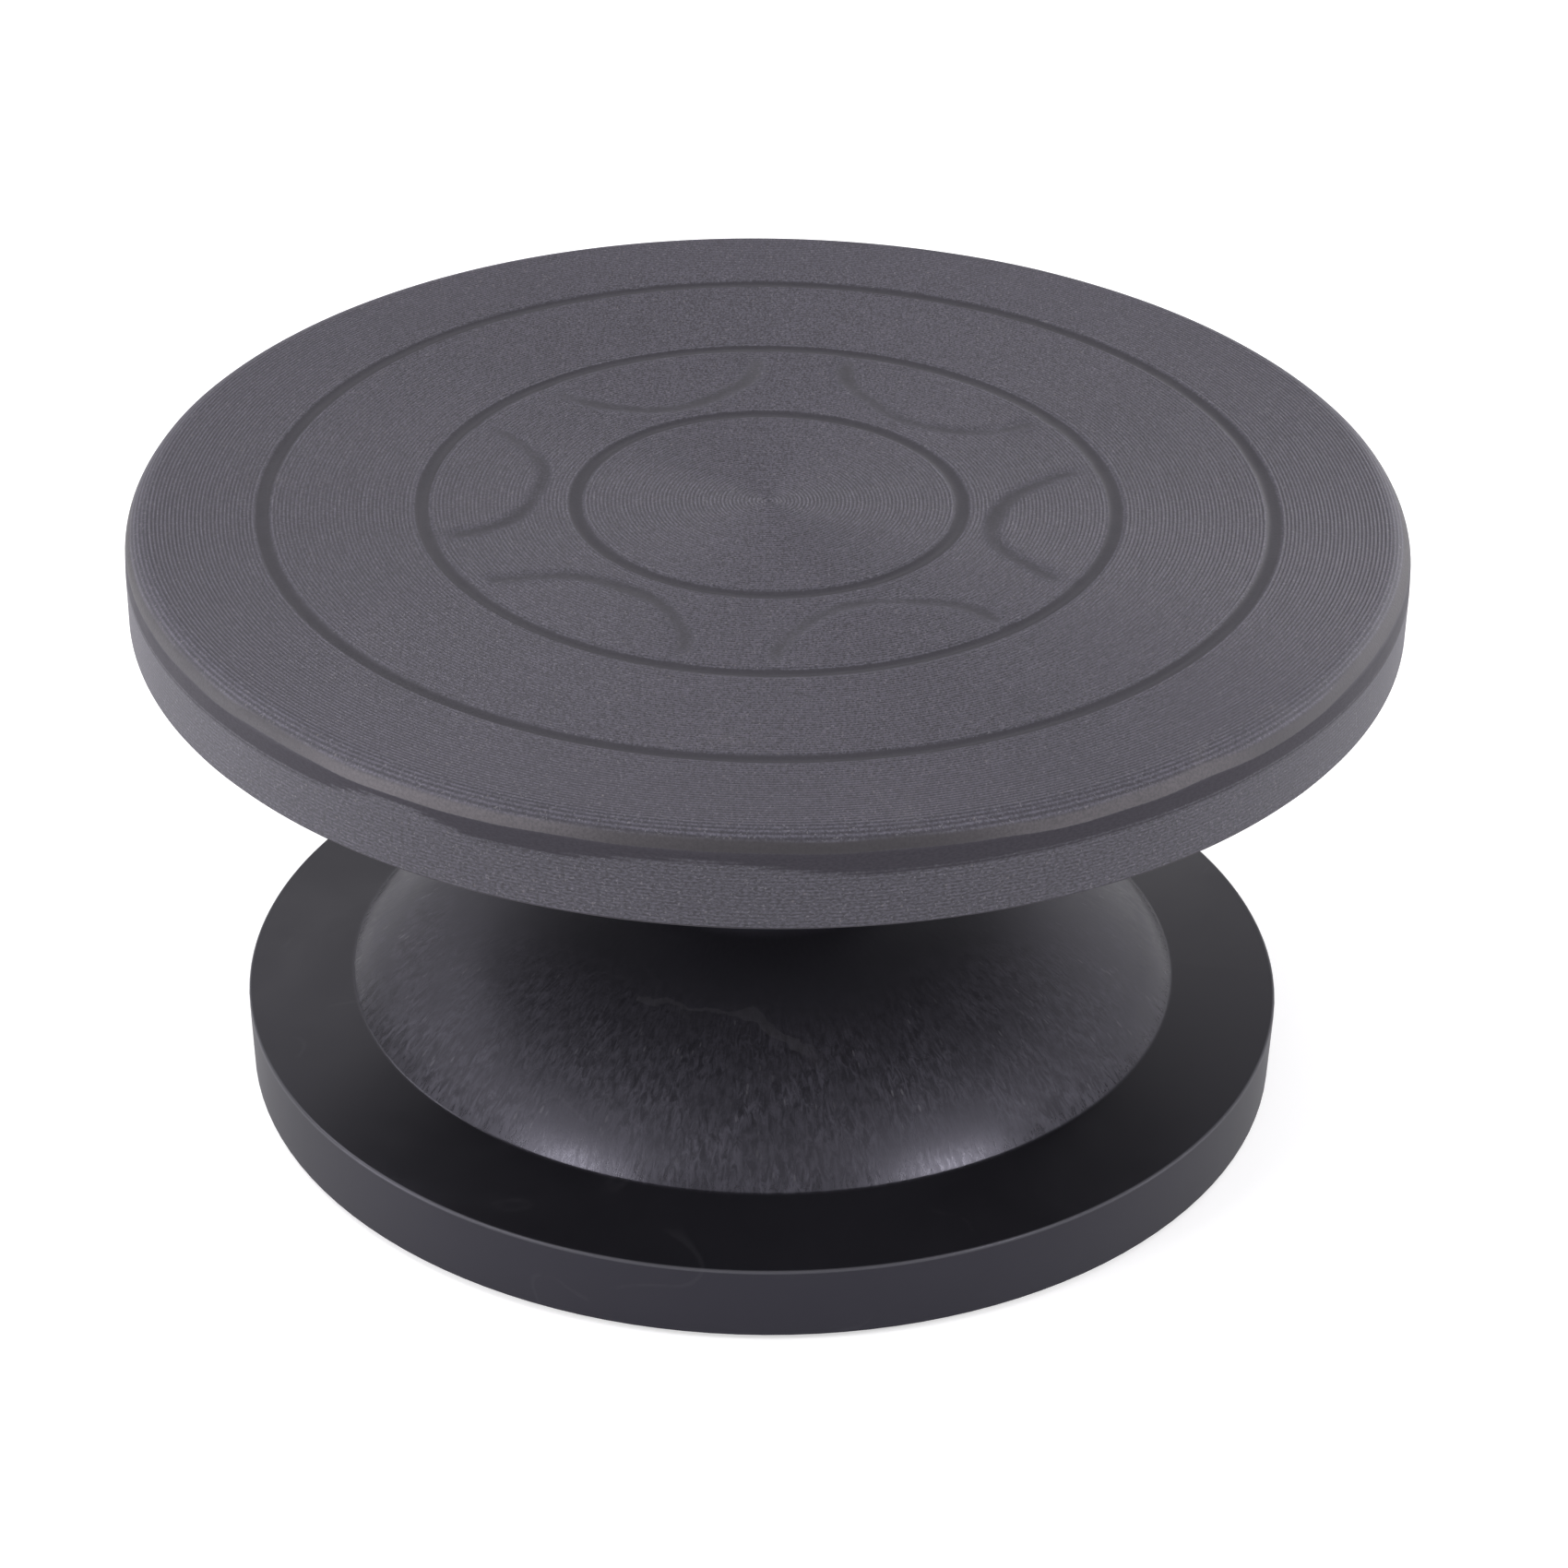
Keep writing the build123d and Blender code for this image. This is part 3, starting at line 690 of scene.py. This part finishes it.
def corner_scuffs_and_painted_light(g, angle, grain, cloud):
    """Scuffed band of the shoulder, with painted highlights and painted shade in stretches round it."""
    colour = g.mix(cloud, (0.029, 0.0265, 0.028), (0.037, 0.034, 0.036))
    # Painted highlights and painted shade along stretches of the band
    for centre, half_width, lightness in CORNER_PAINTED_LIGHT:
        swing = g.math("COSINE", g.math("SUBTRACT", angle, math.radians(centre)))
        end = math.cos(math.radians(half_width))
        colour = g.scale(colour, g.range(swing, end, 1.0, 1.0, lightness))
    return g.scale(colour, g.range(grain, 0.3, 0.7, 0.75, 1.25))


def plate_plastic():
    """Charcoal plastic: turned, grainy and pale where the tool passed, smooth and dark elsewhere."""
    g = Graph("plate_plastic")
    radius, angle, height = g.polar()
    cloud = g.noise(28 * MM, 4, 0.6, warp=0.6)
    wall = g.range(height, *WALL_HEIGHTS)
    grain = plate_grain(g, angle, height, wall)
    on_top = g.range(radius, *TOP_RADII)
    corner, below_corner = corner_masks(g, height)
    ragged = g.math("MULTIPLY", g.noise(1.1 * MM, 3), 0.7)
    skin = g.range(g.math("ADD", g.attribute("skin"), ragged), 0.50, 1.20)
    skin = g.math("MULTIPLY", skin, g.math("MAXIMUM", on_top, below_corner))
    turned = turned_colour(g, radius, angle, height, wall, grain, cloud)
    # The scuffed corner band, with its painted highlights and painted shade, over the turned colour
    cut = g.mix(corner, turned, corner_scuffs_and_painted_light(g, angle, grain, cloud))
    colour = g.mix(skin, cut, moulded_colour(g, grain, cloud, on_top))
    colour = g.cover(g.edges(0.5 * MM), 0.25, colour, (0.13, 0.12, 0.13))
    rough_turned = g.math("ADD", g.range(grain, 0.3, 0.7, 0.56, 0.70), g.math("MULTIPLY", wall, -0.04))
    rough_moulded = g.math("ADD", g.range(cloud, 0.3, 0.7, 0.44, 0.54), g.math("MULTIPLY", wall, 0.14))
    roughness = g.blend(skin, rough_turned, rough_moulded)
    fine = g.bump(grain, 0.06 * MM, g.blend(skin, 0.9, 0.25))
    normal = g.bump(g.noise(3.5 * MM, 2), 0.05 * MM, 0.3, fine)
    specular = g.blend(skin, g.blend(wall, 0.45, 0.50), g.blend(wall, 0.30, 0.16))
    return g.finish(colour, roughness, normal, specular=specular, tint=(0.98, 0.965, 1.05))


def ring_edge_highlight_and_wear(g, radius, height):
    """1 in the narrow band at the top edge of the foot ring, which gets a thin light line that is partly
    painted highlight and partly edge wear.
    """
    below = g.range(height, RING_EDGE - 0.7 * MM, RING_EDGE - 0.3 * MM)
    above = g.range(height, RING_EDGE + 0.3 * MM, RING_EDGE)
    outside = g.range(radius, RING_RADIUS - 0.6 * MM, RING_RADIUS - 0.2 * MM)
    return g.math("MULTIPLY", outside, g.math("MULTIPLY", below, above))


def dried_smear(g, radius, angle):
    """1 along a thin dried smear that crosses the front of the dome and widens to the right."""
    bend = g.math("MAXIMUM", g.math("SUBTRACT", angle, SMEAR_BEND), 0.0)
    path = g.math("MULTIPLY_ADD", bend, SMEAR_SPREAD, SMEAR_RADIUS)
    half_width = g.range(angle, *SMEAR_WIDENS, *SMEAR_HALF_WIDTHS)
    wobble = g.range(g.noise(5 * MM, 3), 0.3, 0.7, -1.0 * MM, 1.0 * MM)
    off = g.math("ABSOLUTE", g.math("ADD", g.math("SUBTRACT", radius, path), wobble))
    mark = g.range(g.math("SUBTRACT", off, half_width), 0.2 * MM, -0.2 * MM)
    left = g.range(angle, *SMEAR_LEFT)
    right = g.range(angle, *SMEAR_RIGHT)
    return g.math("MULTIPLY", mark, g.math("MULTIPLY", left, right))


def hairlines(g):
    """1 along a few hair-thin swirls."""
    ridge = g.math("ABSOLUTE", g.math("SUBTRACT", g.noise(30 * MM, 1, 0.4, warp=0.4), 0.5))
    here = g.range(g.noise(12 * MM, 3), 0.52, 0.66)
    return g.math("MULTIPLY", g.range(ridge, 0.012, 0.002), here)


def brushed_colour(g, colour, radius, angle, spoke, dashes, worn):
    """The dome's plastic with radial brushing, pale flecks and the dried smear."""
    brushed = g.scale(colour, g.blend(worn, 1.5, g.range(dashes, 0.36, 0.68, 0.9, 4.2)))
    flecks = g.range(g.cells(1.3 * MM, spoke), 0.22, 0.10)
    flecks = g.math("MULTIPLY", flecks, g.range(g.noise(7 * MM, 2), 0.45, 0.65))
    brushed = g.cover(g.math("MULTIPLY", flecks, worn), 0.5, brushed, (0.10, 0.098, 0.105))
    return g.cover(dried_smear(g, radius, angle), 0.36, brushed, (0.045, 0.044, 0.048))


def base_plastic():
    """Near-black moulded plastic: satin, with radial brushing and pits on the dome and faint scuffs."""
    g = Graph("base_plastic")
    radius, angle, height = g.polar()
    cloud = g.noise(30 * MM, 4, 0.6, warp=0.5)
    spoke = g.join(g.math("MULTIPLY", angle, 60 * MM), g.math("MULTIPLY", radius, 0.34), 0.0)
    dashes = g.noise(0.85 * MM, 4, 0.75, where=spoke, warp=0.8)
    patches = g.range(g.noise(9 * MM, 3), 0.35, 0.65, 0.45, 1.0)
    dome = g.math("MULTIPLY", g.range(radius, *DOME_RADII), g.range(height, *DOME_HEIGHTS))
    foot = g.math("MULTIPLY", dome, g.range(radius, *FOOT_RADII))
    side = g.range(height, RING_EDGE, RING_EDGE - 0.9 * MM)
    worn = g.math("MULTIPLY", dome, g.math("MULTIPLY", patches, g.range(radius, *WORN_RADII)))
    colour = g.mix(cloud, (0.007, 0.0068, 0.0085), (0.011, 0.0105, 0.013))
    colour = g.mix(dome, colour, brushed_colour(g, colour, radius, angle, spoke, dashes, worn))
    colour = g.cover(hairlines(g), 0.045, colour, (0.12, 0.12, 0.13))
    # Painted light: the colour is made 2.5 times lighter at the neck, whose fillet faces the front
    neck_highlight = g.range(radius, *NECK_RADII)
    colour = g.scale(colour, g.blend(neck_highlight, 1.0, 2.5))
    # Thin light line along the top edge of the foot ring: partly painted highlight, partly edge wear
    colour = g.cover(ring_edge_highlight_and_wear(g, radius, height), 0.5, colour, (0.10, 0.10, 0.11))
    ring_rough = g.blend(side, g.range(cloud, 0.3, 0.7, 0.30, 0.38), 0.50)
    open_rough = g.range(dashes, 0.3, 0.7, 0.40, 0.54)
    dome_rough = g.blend(foot, open_rough, g.range(dashes, 0.36, 0.64, 0.25, 0.36))
    roughness = g.blend(dome, ring_rough, dome_rough)
    pits = g.range(g.cells(1.5 * MM, spoke), 0.26, 0.12)
    normal = g.bump(g.noise(0.35 * MM, 2, 0.6), 0.02 * MM, 0.35)
    normal = g.bump(dashes, 0.05 * MM, g.math("MULTIPLY", worn, 0.8), normal)
    normal = g.bump(pits, 0.04 * MM, g.math("MULTIPLY", worn, -0.6), normal)
    normal = g.bump(g.noise(14 * MM, 2), 0.10 * MM, 0.2, normal)
    specular = g.blend(dome, g.blend(side, 0.24, 0.29), 0.5)
    tint = g.mix(side, (0.97, 0.95, 1.12), (0.96, 0.93, 1.22))
    return g.finish(colour, roughness, normal, specular=specular, tint=tint)


def cap_plastic():
    """Black plastic of the hub cap, with a fine moulded grain."""
    g = Graph("cap_plastic")
    cloud = g.noise(12 * MM, 3)
    grain = g.noise(0.5 * MM, 3, 0.6)
    colour = g.mix(cloud, (0.016, 0.016, 0.018), (0.030, 0.029, 0.032))
    colour = g.cover(g.edges(0.4 * MM), 0.5, colour, (0.10, 0.10, 0.11))
    return g.finish(colour, g.range(grain, 0.3, 0.7, 0.42, 0.58), g.bump(grain, 0.03 * MM, 0.6))


def rubber(name, dark, light):
    """Matt rubber with a slight bloom and a fine grain."""
    g = Graph(name)
    bloom = g.noise(4 * MM, 4, 0.6)
    grain = g.noise(0.3 * MM, 3, 0.6)
    colour = g.mix(g.range(bloom, 0.35, 0.75), dark, light)
    colour = g.cover(g.edges(0.3 * MM), 0.4, colour, (0.12, 0.12, 0.12))
    roughness = g.range(grain, 0.3, 0.7, 0.72, 0.92)
    return g.finish(colour, roughness, g.bump(grain, 0.05 * MM, 0.7), specular=0.35)


def brighter(colour, factor):
    """A colour that is lighter by a factor, but no lighter than white."""
    return tuple(min(1.0, part * factor) for part in colour)


def turned_metal(name, dark, light, rough, pitch, depth, tarnish):
    """Metal with fine rings from the lathe or the grinder, oil film and brighter edges."""
    g = Graph(name)
    radius, angle, height = g.polar()
    ring = g.join(radius, g.math("MULTIPLY", angle, 2 * MM), height)
    lines = g.noise(pitch, 3, 0.7, where=ring)
    film = g.noise(6 * MM, 4, 0.65, warp=0.8)
    colour = g.mix(lines, dark, light)
    colour = g.mix(g.range(film, 0.55, 0.80, 0.0, 0.35), colour, tarnish)
    colour = g.cover(g.edges(0.25 * MM), 0.5, colour, brighter(light, 1.3))
    roughness = g.math("ADD", g.range(lines, 0.3, 0.7, *rough), g.range(film, 0.4, 0.8, 0.0, 0.12))
    return g.finish(colour, roughness, g.bump(lines, depth, 0.6), metallic=1.0)


def plated_metal(name, dark, light, rough):
    """Plated or phosphated metal with a fine crystalline mottle and worn edges."""
    g = Graph(name)
    mottle = g.noise(0.8 * MM, 4, 0.7)
    film = g.noise(3 * MM, 3, 0.6)
    colour = g.mix(mottle, dark, light)
    colour = g.cover(g.edges(0.2 * MM), 0.6, colour, brighter(light, 1.6))
    roughness = g.math("ADD", g.range(mottle, 0.3, 0.7, *rough), g.range(film, 0.4, 0.8, 0.0, 0.10))
    return g.finish(colour, roughness, g.bump(mottle, 0.02 * MM, 0.5), metallic=1.0)


def build_materials():
    """The material of each slot in the record."""
    made = {"plate_plastic": plate_plastic(), "base_plastic": base_plastic(), "cap_plastic": cap_plastic()}
    for name, look in RUBBERS.items():
        made[name] = rubber(name, *look)
    for name, look in TURNED_METALS.items():
        made[name] = turned_metal(name, *look)
    for name, look in PLATED_METALS.items():
        made[name] = plated_metal(name, *look)
    return made


def paint(piece, material):
    """Gives a piece a material in place of what it had."""
    piece.data.materials.clear()
    piece.data.materials.append(material)


materials = build_materials()
for row in frame["record"]["subparts"]:
    paint(frame["nodes"][row["node"]], materials[row["material_slot"]])

plate = build_plate()
paint(plate, materials["plate_plastic"])
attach(plate, "plate")
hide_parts("turntable_plate")


# Floor, light and camera

def see_through(g):
    """Lets a material be seen only from its front, so that the underside can be looked at."""
    side = g.tree.nodes.new("ShaderNodeNewGeometry")
    clear = g.tree.nodes.new("ShaderNodeBsdfTransparent")
    either = g.tree.nodes.new("ShaderNodeMixShader")
    g.tree.links.new(side.outputs["Backfacing"], either.inputs[0])
    g.tree.links.new(g.shader.outputs[0], either.inputs[1])
    g.tree.links.new(clear.outputs[0], either.inputs[2])
    g.tree.links.new(either.outputs[0], g.tree.nodes["Material Output"].inputs["Surface"])


def floor_paint():
    """Pale matt paint with a faint glow, seen only from above."""
    g = Graph("floor_paint")
    cloud = g.noise(0.4, 2)
    colour = g.mix(cloud, (0.62, 0.62, 0.62), (0.65, 0.65, 0.65))
    g.shader.inputs["Emission Color"].default_value = (1, 1, 1, 1)
    g.shader.inputs["Emission Strength"].default_value = FLOOR_GLOW
    see_through(g)
    return g.finish(colour, 0.9, specular=0.1)


def build_floor():
    """A plain pale floor under the feet."""
    bm = bmesh.new()
    bmesh.ops.create_grid(bm, x_segments=4, y_segments=4, size=6.0)
    mesh = bpy.data.meshes.new("floor")
    bm.to_mesh(mesh)
    bm.free()
    floor = bpy.data.objects.new("floor", mesh)
    bpy.context.scene.collection.objects.link(floor)
    paint(floor, floor_paint())


def build_world(level, overhead):
    """A white surround that is brighter overhead than near the horizon."""
    world = bpy.data.worlds.new("surround")
    world.use_nodes = True
    tree = world.node_tree
    place = tree.nodes.new("ShaderNodeTexCoord")
    parts = tree.nodes.new("ShaderNodeSeparateXYZ")
    rise = tree.nodes.new("ShaderNodeMapRange")
    background = tree.nodes["Background"]
    rise.inputs["To Min"].default_value = level
    rise.inputs["To Max"].default_value = overhead
    background.inputs["Color"].default_value = (*LIGHT_TINT, 1)
    tree.links.new(place.outputs["Generated"], parts.inputs[0])
    tree.links.new(parts.outputs["Z"], rise.inputs["Value"])
    tree.links.new(rise.outputs[0], background.inputs["Strength"])
    bpy.context.scene.world = world


def softbox(name, place, size, power, only=None):
    """A rectangular light that faces the object, or that lights only one piece of it."""
    light = bpy.data.lights.new(name, "AREA")
    light.shape = "RECTANGLE"
    light.size, light.size_y = size
    light.energy = power
    light.color = LIGHT_TINT
    lamp = bpy.data.objects.new(name, light)
    lamp.location = place
    lamp.rotation_mode = "QUATERNION"
    lamp.rotation_quaternion = (MIDDLE - Vector(place)).to_track_quat("-Z", "Y")
    bpy.context.scene.collection.objects.link(lamp)
    if only:
        lit = bpy.data.collections.new(name)
        lit.objects.link(only)
        lamp.light_linking.receiver_collection = lit


def build_lights():
    """Softboxes above and all round, in metres and watts, and three that only touch up the plate."""
    softbox("overhead", (0.0, 0.0, 1.5), (1.2, 0.7), 5.6)
    softbox("back", (-0.3, 1.5, 0.95), (1.4, 0.4), 2.5)
    softbox("graze", (1.19, 1.00, 0.50), (1.0, 0.3), 11, only=plate)
    softbox("back_right", (0.95, 1.25, 0.50), (1.6, 0.35), 2)
    softbox("back_left", (-1.05, 0.60, 1.35), (0.6, 0.6), 8)
    softbox("front_right", (1.09, -0.77, 1.05), (0.5, 0.4), 8.5)
    softbox("front_left", (-1.09, -0.77, 1.05), (0.5, 0.4), 8)
    softbox("low_right", (1.6, -0.1, 0.3), (0.5, 0.4), 5)
    softbox("low_left", (-1.6, -0.3, 0.3), (0.5, 0.4), 12)
    softbox("limb_left", (-1.5, 0.5, 0.2), (0.4, 0.4), 8, only=plate)
    softbox("limb_right", (1.5, 0.5, 0.2), (0.4, 0.4), 4, only=plate)
    softbox("front", (0.0, -1.5, 0.9), (0.8, 0.5), 1.8)


def build_camera():
    """A long lens from the front, about 31 degrees above the table and a touch off level."""
    aim = Vector((AIM_RIGHT, 0, AIM_HEIGHT))
    forward = Vector((math.sin(VIEW_AZIMUTH), math.cos(VIEW_AZIMUTH), 0)) * math.cos(VIEW_ELEVATION)
    back = Vector((0, 0, math.sin(VIEW_ELEVATION))) - forward
    camera = bpy.data.objects.new("camera", bpy.data.cameras.new("camera"))
    camera.data.sensor_width = SENSOR
    camera.data.lens = LENS
    camera.location = aim + back * VIEW_DISTANCE
    camera.rotation_mode = "QUATERNION"
    upright = (-back).to_track_quat("-Z", "Y")
    camera.rotation_quaternion = upright @ Matrix.Rotation(VIEW_ROLL, 3, "Z").to_quaternion()
    bpy.context.scene.collection.objects.link(camera)
    bpy.context.scene.camera = camera


build_floor()
build_world(0.37, 0.74)
build_lights()
build_camera()
bpy.context.scene.view_settings.view_transform = "Standard"
